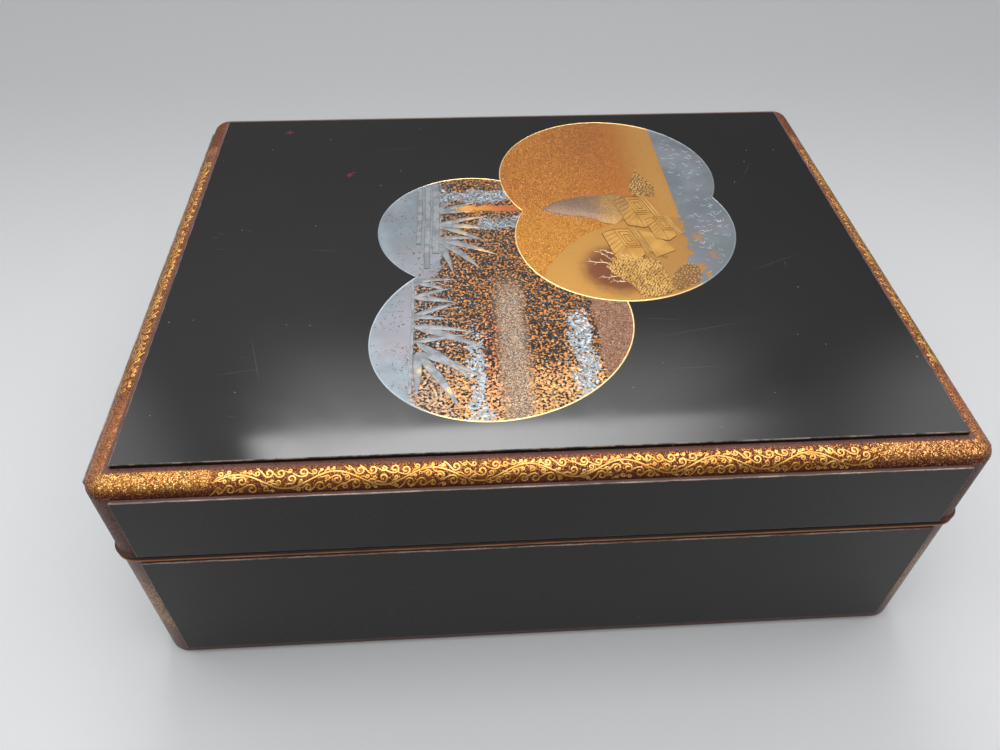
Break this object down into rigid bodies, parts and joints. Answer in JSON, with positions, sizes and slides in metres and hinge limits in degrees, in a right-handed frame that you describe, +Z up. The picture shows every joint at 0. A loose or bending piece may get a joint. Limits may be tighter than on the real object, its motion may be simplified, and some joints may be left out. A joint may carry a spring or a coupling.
{
  "type": "lacquer document box",
  "caption": "Shallow rectangular lacquered box with a lift-off lid, raised black panels on every face, rounded gold-flecked edge rolls and paired gold and silver roundels on the lid.",
  "frame": {"origin": "Middle of the underside, on the surface the box stands on.", "axes": "+X along the box's length, to the right seen from the front; +Y from front to back; +Z up, out of the lid."},
  "size_m": [0.4, 0.32, 0.144],
  "materials": {
    "base_lacquer": "black lacquer over thin wood, satin gloss, with red-brown gold-flecked edge rolls",
    "lid_lacquer": "black lacquer over thin wood, polished, with red-brown gold-flecked edge rolls and gold and silver roundels"
  },
  "bodies": {
    "root": {"base": "base_lacquer", "lid": "lid_lacquer"}
  },
  "joints": []
}
